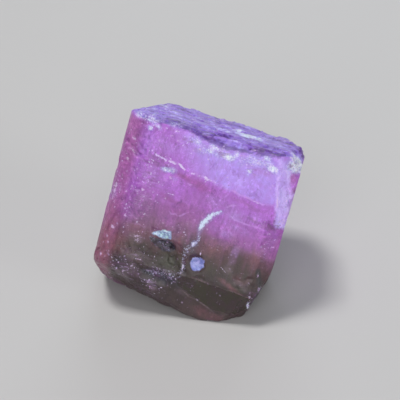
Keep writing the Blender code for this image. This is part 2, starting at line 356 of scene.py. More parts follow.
def relief(points):
    """How deep the surface lies below its face, in mm, added up from what grew, broke and wore on it."""
    left = step(-4.8, -7.5, points[:, 0]) * step(3.0, -2.0, points[:, 1])
    striae = 0.03 * uneven(points, (0.45, 0.45, 9), 1) + 0.03 * uneven(points, (1.3, 1.3, 16), 2)
    gentle = 0.05 * uneven(points, 4.2, 3) + 0.018 * uneven(points, 1.4, 4)
    deep = prism * (striae + gentle)
    # Pits, most of them where the left is most worn, and small chips along the edges.
    _, from_spot = flakes(points, 0.62, 5)
    pit = 0.16 * np.maximum(0, 1 - from_spot / 0.42) * step(0.0, 0.5, uneven(points, 1.6, 6))
    deep += (prism + shares("foot_left")) * pit * (0.15 + 0.85 * left)
    chipped, _ = flakes(points, 0.8, 40)
    whole = 1 - share_of["foot"]
    deep += whole * edge * 0.24 * np.maximum(0, chipped - 0.1) * step(-0.3, 0.4, uneven(points, 2.6, 7))
    # The top broke in layers that run across it, each layer's riser towards the front.
    wander = 0.9 * uneven(points, (6, 4, 50), 8) + 0.3 * uneven(points, (2.4, 1.5, 50), 9)
    back = points[:, 1] + 0.06 * points[:, 0] + wander
    swell = 0.35 + 0.65 * step(-0.4, 0.5, uneven(points, (4, 2.2, 50), 10))
    layers = 0.36 * teeth(back / 2.7 + 0.2) * swell + 0.13 * teeth(back / 1.15) * uneven(points, 2.2, 11)
    groove = 0.4 * np.exp(-(((points[:, 1] + 5.0 + 0.5 * wander) / 0.42) ** 2))
    splinter, _ = flakes(points, (1.7, 1, 1.2), 70)
    chip, _ = flakes(points, (0.7, 0.5, 0.6), 75)
    deep += topmost * (layers + groove + 0.13 * splinter + 0.06 * chip - 0.1)
    # The back and the underside broke rough, with low ripples that spread from where they were struck.
    struck = np.linalg.norm(points - np.array((-9, 8, 6)), axis=1) + 0.7 * uneven(points, 2.4, 13)
    ripple = 0.13 * teeth(struck / 1.7, 0.4) * (0.5 + 0.5 * uneven(points, 3.0, 14))
    facets, _ = flakes(points, 1.7, 80)
    small, _ = flakes(points, 0.6, 90)
    lumps = 0.18 * uneven(points, 2.8, 15) + 0.1 * facets + 0.045 * small
    deep += rough_back * (0.2 + ripple + lumps)
    # The surface that it stands on only touches here and there.
    deep += share[:, STANDS_ON] * np.maximum(0, 0.25 * uneven(points, 1.6, 18) + 0.06 * small)
    deep += lower * (0.02 + 0.07 * uneven(points, 1.5, 20) + 0.03 * small)
    # Where it is bruised it crumbled.
    bruised = spots(points @ FRONT_SIDE, points[:, 2], BRUISES) * step(0.5, 2.5, points @ FRONT_NORMAL)
    crumb, _ = flakes(points, 0.42, 95)
    deep += bruised * (0.06 + 0.09 * crumb)
    return np.maximum(deep, -0.12)


depth = relief(skin)
reached = [(cut, cut.near(skin)) for cut in BREAKS]


def outside(scale):
    """How far the points at this part of their rays are outside the stub, in mm: outside its faces, less
    their relief, or inside a break, whichever is more."""
    points = rays * scale[:, None]
    out, _ = outside_faces(points, wear)
    out = np.maximum(out + depth, points @ NORMALS[STANDS_ON] - DISTANCES[STANDS_ON])
    for cut, near in reached:
        out[near] = np.maximum(out[near], cut.inside(points[near]))
    return out


# Each ray is walked outwards to a little beyond its face, in even steps, to the first one that is outside,
# and that step is halved until the surface is found.
BEYOND = 0.15
DEEPEST = 2.6
STEPS = 20
HALVINGS = 8
start = lengths + BEYOND - DEEPEST
high = start + DEEPEST
for count in range(STEPS - 1, 0, -1):
    trial = start + DEEPEST * count / STEPS
    high = np.where(outside(trial) > 0, trial, high)
low = high - DEEPEST / STEPS
for _ in range(HALVINGS):
    middle = (low + high) / 2
    free = outside(middle) > 0
    high = np.where(free, middle, high)
    low = np.where(free, low, middle)
scale = (low + high) / 2

# Inside the breaks the surface is hackly.
points = rays * scale[:, None]
broken = np.zeros(len(points))
for cut, near in reached:
    broken[near] = np.maximum(broken[near], step(-0.1, -0.01, cut.inside(points[near])))
hackly, _ = flakes(points, 0.55, 100)
coarse, _ = flakes(points, 1.2, 110)
scale -= broken * np.maximum(0, 0.06 + 0.05 * hackly + 0.05 * coarse)
grown = rays * scale[:, None]

crystal_mesh = bpy.data.meshes.new("elbaite_crystal")
crystal_mesh.from_pydata(((grown @ GROWN + CORE) * MM).tolist(), [], cells.tolist())
crystal_mesh.shade_smooth()
crystal = bpy.data.objects.new("elbaite_crystal", crystal_mesh)
scene = bpy.context.scene
scene.collection.objects.link(crystal)


def mark(name, values):
    """Keeps one number at every point of the crystal, for its finish to read."""
    crystal_mesh.attributes.new(name, "FLOAT", "POINT").data.foreach_set("value", values.astype(np.float32))


# Markings of the front, in mm right and up on it from its middle. A sharp one is kept as a distance in mm,
# below 0 inside it, so that the finish can fray its border, and a soft one as its amount from 0 to 1.
right = grown @ FRONT_SIDE
up = grown[:, 2]
forward = grown @ FRONT_NORMAL
in_front = step(1.5, 3.5, forward)
BEHIND = 9.0
stirred_right = right + 0.45 * uneven(grown, 1.7, 120) + 0.2 * uneven(grown, 0.6, 121)
stirred_up = up + 0.45 * uneven(grown, 1.7, 122) + 0.2 * uneven(grown, 0.6, 123)


def stirred(part):
    """The places right and up on the front, moved by this part of their stirring."""
    return part * stirred_right + (1 - part) * right, part * stirred_up + (1 - part) * up


def to_line(right, up, places):
    """Each point's distance from a bent line through these places, and how far along it, from 0 to 1, the
    nearest place of it is: the least of its distances from the straight pieces."""
    places = np.array(places, float)
    runs = np.linalg.norm(np.diff(places, axis=0), axis=1)
    before = np.concatenate(((0,), np.cumsum(runs)))
    least = np.full(len(right), np.inf)
    along = np.zeros(len(right))
    for index, run in enumerate(runs):
        way = (places[index + 1] - places[index]) / run
        over = right - places[index, 0], up - places[index, 1]
        reach = np.clip(over[0] * way[0] + over[1] * way[1], 0, run)
        distance = np.hypot(over[0] - reach * way[0], over[1] - reach * way[1])
        closer = distance < least
        least = np.where(closer, distance, least)
        along = np.where(closer, before[index] + reach, along)
    return least, along / before[-1]


def to_patch(right, up, corners):
    """Each point's distance from the border of a patch with these corners, below 0 inside: a point is inside
    where a line from it to the right crosses the border an odd number of times."""
    distance, _ = to_line(right, up, list(corners) + [corners[0]])
    inside = np.zeros(len(right), bool)
    for (one_right, one_up), (two_right, two_up) in zip(corners, list(corners[1:]) + [corners[0]]):
        if one_up == two_up:
            continue
        between = (one_up > up) != (two_up > up)
        crossing = one_right + (up - one_up) * (two_right - one_right) / (two_up - one_up)
        inside ^= between & (right < crossing)
    return np.where(inside, -distance, distance)


def hidden(distance):
    """The distance, pushed out of reach on every face but the front."""
    return np.where(in_front > 0.5, distance, BEHIND)


def cloud(name, ovals, elsewhere, seed, low=False):
    """Keeps a tint's amount: soft ovals with stirred borders on the front, and chance patches elsewhere, or
    only low down elsewhere."""
    patches = step(0.05, 0.6, uneven(grown, 2.2, seed) + 0.35 * uneven(grown, 0.8, seed + 1))
    patches *= elsewhere * (step(1.0, -3.0, up) if low else 1)
    mark(name, spots(stirred_right, stirred_up, ovals) * in_front + patches * (1 - in_front))


# The white streak, a healed crack: widest a third of the way down from its top, and thin at its ends.
STREAK = [
    (2.95, 1.85), (2.3, 1.45), (1.87, 0.8), (1.5, 0.15), (1.34, -0.45), (1.36, -1.1), (1.42, -1.75),
    (1.3, -2.3),
]
distance, along = to_line(right, up, STREAK)
swell = np.sin(np.pi * np.clip(along * 1.15 + 0.05, 0, 1)) ** 0.7
mark("streak", hidden(distance - (0.03 + 0.2 * swell - 0.12 * step(0.55, 0.75, along))))
# Its grey speckled tail, which bends round the pit.
TAIL = [
    (1.45, -0.9), (1.3, -2), (0.9, -2.9), (0.4, -3.6), (0.45, -4.4), (0.8, -5), (0.55, -5.6),
    (0.25, -6.3), (-0.8, -6.5), (-1.8, -6.6), (-3.2, -6.7),
]
distance, along = to_line(*stirred(0.5), TAIL)
mark("tail", in_front * (0.66 - 0.1 * step(0.45, 0.7, along)) * step(0.75 + 0.5 * along, 0.0, distance))
# The two bluish patches, painted reflections where flat chips gleam, the pit below the upper one, darkened
# with painted shade, and the dark glassy facet at the foot.
PATCHES = {
    "upper_patch": [
        (-3.6, -2.45), (-2.9, -2), (-2.25, -1.65), (-1.55, -1.72), (-1.33, -2.5), (-2.06, -2.72),
        (-2.75, -2.65),
    ],
    "lower_patch": [
        (1.45, -3.75), (2.2, -3.5), (2.7, -3.7), (2.85, -4.4), (2.5, -4.9), (2.07, -5.15), (1.5, -4.95),
        (1.25, -4.2),
    ],
    "pit": [
        (-3.7, -2.9), (-2.8, -2.8), (-1.5, -2.7), (-1, -2.85), (-0.7, -3.5), (-1, -4), (-1.8, -4.1),
        (-2.6, -3.8), (-3.2, -3.4),
    ],
    "glassy": [
        (0.4, -6.1), (1.6, -6), (3.2, -6.05), (5.1, -6.15), (6.8, -6.2), (8.6, -6.45), (8.5, -7.7),
        (7.4, -8.9), (4.9, -8.9), (3.2, -8.3), (1.6, -7.6), (0.6, -7.3),
    ],
}
for name, corners in PATCHES.items():
    mark(name, hidden(to_patch(right, up, corners)))
# The crisp edge above that facet, lit with a painted highlight, and a thin light crack across its left end.
FOOT_LINES = {
    "foot_edge_highlight": [
        (0.3, -5.9), (1.6, -5.85), (3.2, -5.95), (5.1, -6.05), (6.8, -6.1), (8, -6.3), (8.6, -6.4),
    ],
    "foot_crack": [(1.3, -7.7), (2.1, -8.2), (3.1, -8.35), (4.2, -8.8), (5.1, -9.2)],
}
for name, places in FOOT_LINES.items():
    mark(name, hidden(to_line(right, up, places)[0]))
# Bruises, with more of them by chance along the other edges.
by_chance = step(0.0, 0.7, uneven(grown, 2.6, 145) + 0.9 * uneven(grown, 0.7, 146))
beaten = 0.55 * edge * by_chance * (1 - in_front)
RIGHT_SIDE = [(1.6, 7.8, 1.5, 0.5, 1, 10), (5, 2.2, 0.5, 0.4, 0.9)]
beside = spots(forward, up, RIGHT_SIDE, 1.5) * step(9.3, 9.7, right)
bruised = spots(right, up, BRUISES, 1.9) * step(0.5, 2.5, forward + 1.6 * step(8.0, 8.6, right))
mark("bruise", np.maximum(np.maximum(bruised, beside), beaten))
# Painted glints: a broken row of bright dashes where two parts of the front meet at a slight bend and catch
# the light, and a few beside it.
mark("glint_dashes", in_front * spots(*stirred(0.3), [
    (-5.3, 5.9, 0.45, 0.1, 0.7, -25), (-4.4, 5.65, 0.55, 0.1, 0.8, -15), (-3.4, 5.5, 0.5, 0.12, 0.85, -15),
    (-2.4, 5.45, 0.55, 0.12, 1, -20), (-1.04, 5.07, 0.3, 0.12, 0.8), (0.5, 4.95, 0.35, 0.2, 0.8, -20),
    (1, 4.88, 0.3, 0.12, 0.6, -20), (1.6, 4.8, 0.4, 0.1, 0.5, -15), (-5.6, 5.2, 0.7, 0.1, 0.5, -20),
    (-4.6, 5.1, 0.5, 0.08, 0.5, -25), (-6, 4.4, 0.35, 0.12, 0.5, -50), (-5.2, 3.7, 0.25, 0.12, 0.6, -30),
    (6.3, 3.95, 0.6, 0.08, 0.6, -15), (4, 4.25, 0.8, 0.07, 0.4, -15), (2.65, 3.32, 0.4, 0.08, 0.5, -5),
    (-2.6, 2.27, 0.5, 0.07, 0.8), (-1, 3.75, 0.3, 0.08, 0.6, 10), (4.85, -4, 0.5, 0.07, 0.6, -30),
    (4.5, -4.5, 0.5, 0.07, 0.5, -30), (2.1, -3, 0.1, 0.3, 0.7, 10), (7.9, 0.4, 0.08, 0.3, 0.5),
    (3, -1.9, 0.3, 0.06, 0.5, -10), (3.7, -2.2, 0.3, 0.06, 0.5, -10), (8.4, 4.6, 0.07, 0.9, 0.7, 4),
], 1.5))
# Pale worn spots, most of them on the left.
mark("grain", in_front * spots(right, up, [
    (-8.07, 6.84, 0.35, 0.18, 0.75, -30), (-7.8, 5.45, 0.22, 0.22, 0.6), (-7.3, 5.2, 0.18, 0.25, 0.5, -40),
    (-8.12, 4.43, 0.24, 0.22, 0.75), (-6.8, 3.8, 0.14, 0.4, 0.65), (-4.1, 8.24, 0.28, 0.18, 0.6),
    (-3.36, 7.9, 0.16, 0.14, 0.9), (-3.06, 8.2, 0.35, 0.14, 0.55, -20), (-1.8, 7.47, 0.25, 0.18, 0.6),
    (-0.93, 7.67, 0.18, 0.18, 0.8), (0.2, 6.9, 0.17, 0.14, 0.6), (0.17, 6.24, 0.2, 0.12, 0.5),
    (-5.7, 1.83, 0.24, 0.2, 0.8), (-6, 1.5, 0.4, 0.28, 0.45), (-6.9, 1.77, 0.12, 0.4, 0.8),
    (-7.33, 1.15, 0.18, 0.14, 0.65), (-8.27, 2.58, 0.14, 0.3, 0.6), (-8.7, 1.3, 0.2, 0.4, 0.85),
    (-8.7, 0.7, 0.2, 0.35, 0.8), (-8.7, 0, 0.28, 0.6, 0.55), (-8.3, 0.7, 0.15, 0.15, 0.6),
    (-8.4, -0.5, 0.18, 0.18, 0.65), (-7.2, -0.7, 0.14, 0.14, 0.55), (-5.24, -0.66, 0.16, 0.16, 0.55),
    (-3.07, 1.65, 0.3, 0.18, 0.55), (-3.2, 0.57, 0.25, 0.2, 0.45), (-6.8, -1.4, 0.25, 0.22, 0.6),
    (-6.4, -2.2, 0.5, 0.4, 0.42), (-7.8, -3.05, 0.4, 0.28, 0.75, -20), (-8.3, -4.2, 0.6, 0.35, 0.45, -30),
    (-4.9, -3.4, 0.6, 0.5, 0.5, -20), (-8.4, -6.45, 0.18, 0.24, 0.9), (-4.7, -6.6, 0.16, 0.35, 0.55),
    (-4, -6.8, 0.25, 0.18, 0.5), (-4.2, -5.6, 0.5, 0.25, 0.45), (-6.6, -7.4, 0.6, 0.35, 0.5, -30),
    (-5.5, -7.5, 0.4, 0.5, 0.5, -30), (-2.3, -8.4, 0.55, 0.3, 0.55, -10), (-1.87, -7.5, 0.18, 0.15, 0.5),
    (-1.7, -3.06, 0.12, 0.1, 1), (8.5, 1.06, 0.25, 0.14, 0.7), (9.25, -0.3, 0.4, 0.4, 0.5),
    (8.6, -3.55, 0.14, 0.35, 0.6), (9.2, -5.2, 0.25, 0.4, 0.55), (9.6, 2.5, 0.3, 0.5, 0.65),
    (-0.2, -5.3, 0.4, 0.3, 0.4), (0.5, -0.5, 0.5, 0.3, 0.4), (-0.9, -0.7, 0.4, 0.3, 0.4),
], 1.4))
# Fine wisps, cracks inside that catch the light.
WISPS = [
    [(3.7, 2.1), (4.5, 1.6), (5.74, 1.42), (6.9, 1.45), (8.2, 1.25)],
    [(3.3, 2.45), (3.85, 2.9), (4.7, 3.15)],
    [(3.3, 4.1), (2.9, 3.35)],
    [(-1.35, 3.85), (-0.95, 3.68), (-0.7, 3.88)],
    [(-1.3, 0.14), (-0.8, 0.3), (-0.32, 0.88)],
    [(2.25, 4.6), (4.26, 4.32), (5.6, 4.15), (6.9, 3.9), (8.3, 4.05)],
    [(-2.3, 0.35), (-1.9, 0.2), (-1.5, 0.35), (-1.2, 0.2)],
    [(8.3, 5.4), (8.4, 4.6), (8.5, 3.9)],
]
wisp = np.full(len(grown), BEHIND)
for places in WISPS:
    distance, along = to_line(*stirred(0.3), places)
    wisp = np.minimum(wisp, distance + 0.08 * (2 * along - 1) ** 2)
mark("wisp", hidden(wisp))
# Painted sheen: pale violet reflected light above that bend and on the bevelled face to its right.
BEND = [
    (-8.5, 5.9), (-5.64, 5.9), (-1.1, 5.11), (0.7, 4.9), (2.25, 4.5), (4.26, 4.3), (5.6, 4.2), (6.8, 3.9),
    (8.5, 4),
]
BEVEL = [
    (7.4, 8.8), (8.4, 8.9), (8.6, 8), (9, 6.9), (9.25, 6), (9.97, 5.6), (9.97, 1.9), (9, 1.8),
    (8.75, 2.6), (8.3, 4.2), (8, 5.4), (7.65, 6.9),
]
over_bend = up - np.interp(right, *zip(*BEND))
mark("bevel_sheen", np.maximum(to_patch(right, up, BEVEL), 3.4 + 0.8 * uneven(grown, 1.2, 147) - forward))
above = step(-0.3, 0.35, over_bend + 0.5 * (stirred_up - up)) * step(-3.0, 2.5, right + 0.8 * over_bend)
mark("painted_sheen", above * in_front * (1 - topmost) * step(9.2, 8.7, right))
# The rim of the front: above it the chips belong to the broken top, and a groove runs along it, darkened with
# painted shade.
RIM = [
    (-7.58, 9.36), (-6.43, 9.2), (-3.98, 9.5), (-2.39, 9.3), (-0.98, 8.85), (0.5, 8.65), (1.95, 8.55),
    (3.6, 8.7), (5.3, 8.9), (7, 9.2), (8.1, 9.6),
]
over_rim = step(-0.12, 0.12, stirred(0.4)[1] - np.interp(right, *zip(*RIM)))
distance, _ = to_line(right, up, RIM)
mark("groove", np.where(forward > 3.5, distance, BEHIND))
mark("top", np.clip(topmost + broken * over_rim * in_front, 0, 1))
# The broken top's painted highlights, on its crests, and painted shade, on its darker patches: across and
# away on it.
across = grown[:, 0] + 0.35 * uneven(grown, 1.3, 124)
away = grown[:, 1] + 0.5 * uneven(grown, 1.3, 125)
mark("top_highlight", topmost * spots(across, away, [
    (2.2, 2.2, 0.7, 1.5, 0.8), (3.2, -0.1, 1.7, 1.3, 1.5, -20), (-6.6, -4.6, 1.2, 0.6, 0.7),
    (-5, 1.6, 1.2, 1.4, 0.6), (0.6, -0.4, 1.2, 0.8, 0.6, -20), (6, 0.6, 1.2, 1, 0.3),
    (4.6, 0.1, 1, 0.9, 1.3), (1, -1.6, 1.6, 0.5, 0.6, -30), (-6.4, 5.2, 1.3, 1.2, 0.8),
    (-2.6, 3.6, 1, 1.8, 0.5), (-0.8, 1.4, 0.8, 1.2, 0.5), (7, 3, 1.3, 1, 0.2), (-7.9, 0.5, 1, 1, 0.5),
    (-4.2, -1.6, 1.8, 0.9, 0.55, -10), (3.6, 6.4, 1.2, 1, 0.4), (7, -1, 1, 0.8, 0.45),
    (8, -4.4, 1.3, 1.1, 1.5, -30), (9, -3, 1.3, 1.3, 1.5, -30), (-1, -1.9, 0.5, 0.7, 0.6),
    (5.8, -8.2, 1, 0.5, 0.5),
]))
mark("top_shade", topmost * spots(across, away, [
    (-0.6, -5, 2, 2.2, 0.85, -10), (4.6, -6.6, 2.4, 1.6, 0.85, -10), (7.6, -4.6, 1.4, 1.4, 0.7),
    (9.5, 2, 0.9, 2, 1), (7.8, 2.4, 1.6, 1.6, 0.9), (-4.1, 6.2, 1, 1.3, 0.85), (6.6, 8, 2.6, 1.3, 0.6),
    (-7.5, -5.2, 0.9, 0.7, 0.9), (-5.5, -4.4, 1.6, 0.6, 0.6), (-3.4, -6.4, 1.6, 0.9, 0.8, -10),
    (2, -5, 1.4, 1.2, 0.2, -20), (0.6, 5.5, 1.4, 1, 0.4), (0.6, -3.6, 1.8, 0.8, 0.6, -15),
    (7.4, 1, 1, 0.7, 0.5),
]))
# The colour's height above the border between pink and grey-olive, which slants and dips at the sides.
dip = 2.0 * step(-5.8, -8.2, right) + 0.7 * step(4.5, 7.5, right)
dip += 0.9 * step(1.7, 2.4, right) * step(-1.4, -0.7, up + 0.15 * (right - 4.0))
mark("height", up + 1.3 - 0.1 * np.clip(right, -8, 9) + dip)
# Soft patches of tint.
cloud("pale", [
    (-6.7, 6.9, 1.3, 1.8, 0.6), (-4.2, 7.1, 2, 1, 0.65, -15), (0.8, 6.4, 3.4, 1.1, 0.8, -12),
    (-5, 3.6, 2.2, 1.2, 0.5, -10), (3.6, 2.9, 2, 0.8, 0.4, -15), (5, 0.6, 2.2, 0.6, 0.6, -12),
    (3.6, -0.2, 1.6, 0.5, 0.8, -8), (4.6, 2.1, 1.8, 0.8, 0.9, -12), (2.2, 2.9, 1.6, 0.8, 0.6, -12),
    (-6.3, -1.3, 1.2, 0.6, 0.2), (5.6, -2.2, 0.6, 1, 0.5), (3.6, 2, 4, 0.6, 0.4, -12),
    (-8.8, 0.4, 0.6, 1.4, 0.7), (6.4, 2.2, 1.6, 0.9, 0.5, -12),
], 0.3, 130)
cloud("rosy", [
    (-2, 4.4, 1.5, 0.6, 1, -15), (-2.2, 1.7, 2.4, 0.35, 0.7, -14), (-8.4, 4.4, 0.9, 3.6, 0.4),
    (-5.4, 3.4, 2.2, 2.2, 0.3), (6.2, 7, 1.4, 0.7, 0.8, -10), (-0.2, 4, 2.4, 0.8, 0.9, -12),
    (1.5, 2.9, 3, 1.1, 0.45, -12), (9.35, 7.6, 0.6, 0.9, 0.9), (9.6, 0.5, 0.5, 3.2, 0.6),
    (-1.6, 0.6, 2.4, 0.7, 0.5),
], 0.5, 132)
cloud("dusky", [
    (-4.8, 6.7, 0.5, 0.6, 0.5, -15), (-5.6, 5.6, 1.1, 0.25, 0.8, -20), (-5.2, 4.9, 1.3, 0.25, 0.7, -20),
    (-4.2, 5.2, 0.6, 0.2, 0.7, -20), (7.2, 1.9, 2.4, 0.2, 0.7, -6), (5.8, 3.4, 2.4, 0.35, 0.5, -14),
    (3.6, -1.1, 1.8, 0.3, 0.8, -8), (9.5, 6, 0.35, 0.9, 0.8), (-3.6, 0.5, 2.6, 0.45, 0.55, -10),
    (0.4, 1.2, 2, 0.4, 0.35, -15), (-4.4, 3.1, 1, 0.3, 0.35), (8.3, 1.5, 1, 0.5, 1, -10),
    (8.4, 0.2, 0.8, 0.7, 0.5), (-5.2, 0, 2.3, 1.8, 0.85), (-5.6, -1.7, 1, 0.8, 0.5),
    (-0.6, -1.2, 0.8, 0.6, 0.6), (3.1, 8, 3.4, 0.16, 0.35), (5.9, 8.3, 1, 0.14, 0.6, 10),
    (-4.4, -0.5, 1.8, 0.4, 0.5, -10),
], 0.3, 134)
cloud("warm", [
    (-0.4, -2.4, 0.9, 1, 1, -10), (8, -2.2, 0.8, 1.3, 0.8), (5.9, -5.65, 1.4, 0.4, 0.9, -12),
    (-8.2, -4, 0.8, 3.4, 0.9), (-5.2, -2.2, 2, 0.9, 0.6), (3.2, -2, 1.2, 0.9, 0.6),
    (-7.4, -7, 0.9, 0.9, 0.7), (4.4, -9.6, 2, 0.6, 0.7), (7, -4.4, 1, 0.8, 0.5),
    (-6.3, -4.6, 1.2, 1.2, 0.7),
], 0.45, 136, True)
cloud("olive", [
    (-1.1, -4.9, 1.5, 1.2, 1), (-4.2, -4.4, 1.6, 1, 0.7), (3.7, -4.6, 0.9, 1, 0.6),
    (6.3, -2.9, 0.4, 1.4, 0.6), (7.4, -5.5, 1.2, 0.5, 0.6), (7.2, -3.9, 0.3, 0.9, 0.5),
], 0.5, 138, True)
cloud("slate", [
    (-6, -6.9, 1.2, 0.9, 0.8, -20), (-1.4, -6.8, 2.6, 0.9, 1.5, -4), (0.9, -2.7, 0.9, 1.5, 1, 10),
    (1, -5.6, 0.5, 0.8, 0.7), (-2.6, -7.8, 1.2, 0.6, 0.6), (0.4, -7, 1.2, 0.5, 0.5),
    (1.5, -3.3, 0.5, 0.3, 0.9), (-1.9, -3.2, 1.6, 0.5, 0.7), (9.4, 2.2, 0.7, 0.5, 0.9),
], 0.4, 140, True)
cloud("ashen", [
    (-2.4, -8.4, 0.7, 0.35, 0.8, -12), (-5.2, -7, 0.9, 1.4, 0.5, -30), (-4.9, -3.4, 0.8, 0.6, 0.5),
    (-5.8, -8.1, 1.2, 0.5, 0.7, -20), (7.2, -5, 1.4, 0.5, 0.4, -15), (1, -7.9, 0.8, 0.3, 0.4, -20),
    (-4.8, -5.4, 1.2, 0.8, 0.35), (5.4, -3.6, 0.5, 1, 0.4),
], 0.2, 142)
# Where it is scuffed, with dense fine specks.
cloud("scuffed", [
    (-4.8, 3.2, 2.4, 1.8, 0.6), (-5.6, 0.4, 2, 1.6, 0.5), (-4.6, -1.8, 2.2, 1.2, 0.3),
    (-4.4, -5, 2.4, 1, 0.4), (-3, -9.2, 2.4, 0.6, 0.5, -10), (1.6, -7, 1, 0.6, 0.4),
    (-4.6, 5.6, 2.3, 0.6, 1, -20), (-6, 4.6, 1.2, 0.9, 0.8, -20), (-3.4, 4.6, 1.4, 0.4, 0.8),
    (-6.6, 8.9, 1.7, 0.5, 0.9, -10), (-3.9, 9.2, 1.2, 0.3, 0.8), (-1.6, 8.2, 1.6, 0.7, 0.9, -15),
    (0.8, 7.9, 2, 0.7, 1, -10), (4.6, 8.3, 2.4, 0.6, 0.9), (5.6, 7.6, 2, 0.6, 0.6),
    (4.7, 6.8, 0.6, 0.6, 0.8), (-1.1, 7.4, 1.2, 0.8, 0.5), (-2.6, 7.9, 1.6, 0.5, 0.5, -10),
    (0.2, 4.9, 1.6, 0.35, 0.8, -10), (-8.5, 1, 0.7, 2.6, 0.8), (-8.1, 5.4, 0.7, 2.6, 0.6),
    (-6.8, 2.5, 0.6, 2.4, 0.5), (-5.5, -6.9, 2.2, 1.2, 0.7, -20), (-5.8, -2.8, 2.2, 0.9, 0.35, -10),
    (-1.5, -6.4, 2.4, 0.7, 1), (0.5, -4.9, 0.5, 1.2, 0.9), (-2.4, -8.2, 2, 0.5, 0.6, -15),
    (8.7, -6.4, 0.5, 1.6, 0.9), (9.3, 8.6, 0.9, 1, 1), (8.9, 2, 0.8, 0.8, 1), (-0.6, -1.4, 1.4, 1, 0.6),
    (-1.9, -3.6, 1, 0.4, 0.6), (-6.6, -0.8, 1, 1.2, 0.6), (8.6, -0.6, 0.5, 2, 0.6),
], 0.5, 150)
# The low right edge, where a dark crack ends in a bruise.
LOW_CRACK = [(8.5, -3.2), (9.0, -4.5), (9.25, -5.4), (9.1, -6.4), (8.9, -7.6)]
distance, _ = to_line(right, up, LOW_CRACK)
mark("low_crack", np.where(forward > 0, distance, BEHIND))
# The rough back, and the speckled left edge, whose redder tint is partly painted glow of light passing
# through it.
mark("back", np.clip(rough_back + share[:, STANDS_ON], 0, 1))
mark("left", step(-6.6, -8.0, right) * (1 - topmost) * in_front)
grown_marks = crystal_mesh.attributes.new("grown", "FLOAT_VECTOR", "POINT")
grown_marks.data.foreach_set("vector", grown.astype(np.float32).ravel())


# How the finish's nodes are laid: each call adds one node, fills its inputs by name or number with a value
# or another node's output, and gives back one of its outputs.
def node(tree, kind, inputs, output=0, **settings):
    """One shader node."""
    made = tree.nodes.new("ShaderNode" + kind)
    for name, value in settings.items():
        setattr(made, name, value)
    for name, value in inputs.items():
        if isinstance(value, bpy.types.NodeSocket):
            tree.links.new(value, made.inputs[name])
        else:
            made.inputs[name].default_value = value
    return made.outputs[output]


def maths(operation, one, two=0.0, three=0.0):
    """A sum on numbers, of which the first is another node's output."""
    return node(one.id_data, "Math", {0: one, 1: two, 2: three}, operation=operation)


def times(*values):
    """Several numbers multiplied."""
    result = values[0]
    for value in values[1:]:
        result = maths("MULTIPLY", result, value)
    return result


def linear(value, factor, more):
    """The value times a factor, plus more."""
    return maths("MULTIPLY_ADD", value, factor, more)


def rise(value, low, high):
    """0 at low, 1 at high, and an even S between."""
    inputs = {"Value": value, "From Min": low, "From Max": high}
    return node(value.id_data, "MapRange", inputs, interpolation_type="SMOOTHSTEP")


def laid(share, under, over, way="MIX"):
    """A colour laid over another by its share."""
    inputs = {0: share, 6: under, 7: over}
    return node(share.id_data, "Mix", inputs, 2, data_type="RGBA", blend_type=way)


def pigment(red, green, blue):
    """A colour as a painter's chart gives it, 0 to 255, as light."""
    tone = np.array((red, green, blue)) / 255
    light = np.where(tone > 0.04045, ((tone + 0.055) / 1.055) ** 2.4, tone / 12.92)
    return (*light.tolist(), 1.0)


def mask_group(name, *inputs):
    """An empty node group that will put out a mask, and its inputs, which are numbers but for the place."""
    group = bpy.data.node_groups.new(name, "ShaderNodeTree")
    for given in inputs:
        kind = "NodeSocketVector" if given == "Place" else "NodeSocketFloat"
        group.interface.new_socket(name=given, in_out="INPUT", socket_type=kind)
    group.interface.new_socket(name="Mask", in_out="OUTPUT", socket_type="NodeSocketFloat")
    return group, group.nodes.new("NodeGroupInput").outputs


def closed(group, mask):
    """The group, done, with its mask put out."""
    group.links.new(mask, group.nodes.new("NodeGroupOutput").inputs["Mask"])
    return group


def specks_group():
    """Small chance dots: cells of a stirred jittered lattice, of which a share hold a dot of its own size."""
    group, given = mask_group("bright specks", "Place", "Scale", "Share", "Size")
    stir = node(group, "TexNoise", {"Vector": given["Place"], "Scale": 2.6, "Detail": 3.0}, "Color")
    moved = node(group, "VectorMath", {0: stir, 1: (0.6,) * 3, 2: given["Place"]}, operation="MULTIPLY_ADD")
    cell = node(group, "TexVoronoi", {"Vector": moved, "Scale": given["Scale"]}).node.outputs
    luck = node(group, "SeparateColor", {0: cell["Color"]}, 0)
    size = node(group, "SeparateColor", {0: cell["Color"]}, 1)
    chosen = maths("LESS_THAN", luck, given["Share"])
    radius = times(linear(size, 0.9, 0.35), given["Size"])
    dot = rise(cell["Distance"], radius, times(radius, 0.2))
    return closed(group, times(dot, chosen))


def frayed_group():
    """A marking's mask from its distance in mm, with a border that noise frays."""
    group, given = mask_group("frayed edge", "Distance", "Place", "Fray", "Grain", "Soft")
    rough = {"Vector": given["Place"], "Scale": given["Grain"], "Detail": 4.0, "Roughness": 0.7}
    noise = maths("SUBTRACT", node(group, "TexNoise", rough), 0.5)
    moved = linear(noise, given["Fray"], given["Distance"])
    return closed(group, rise(moved, given["Soft"], times(given["Soft"], -1.0)))


def gritty_group():
    """A marking's mask from its amount: grains of noise, few where there is little, closed where it is 1."""
    group, given = mask_group("gritty", "Amount", "Place", "Grain")
    rough = {"Vector": given["Place"], "Scale": given["Grain"], "Detail": 4.0, "Roughness": 0.75}
    risen = linear(given["Amount"], 0.42, node(group, "TexNoise", rough))
    return closed(group, rise(risen, 0.74, 0.91))


SPECKS = specks_group()
FRAYED = frayed_group()
GRITTY = gritty_group()


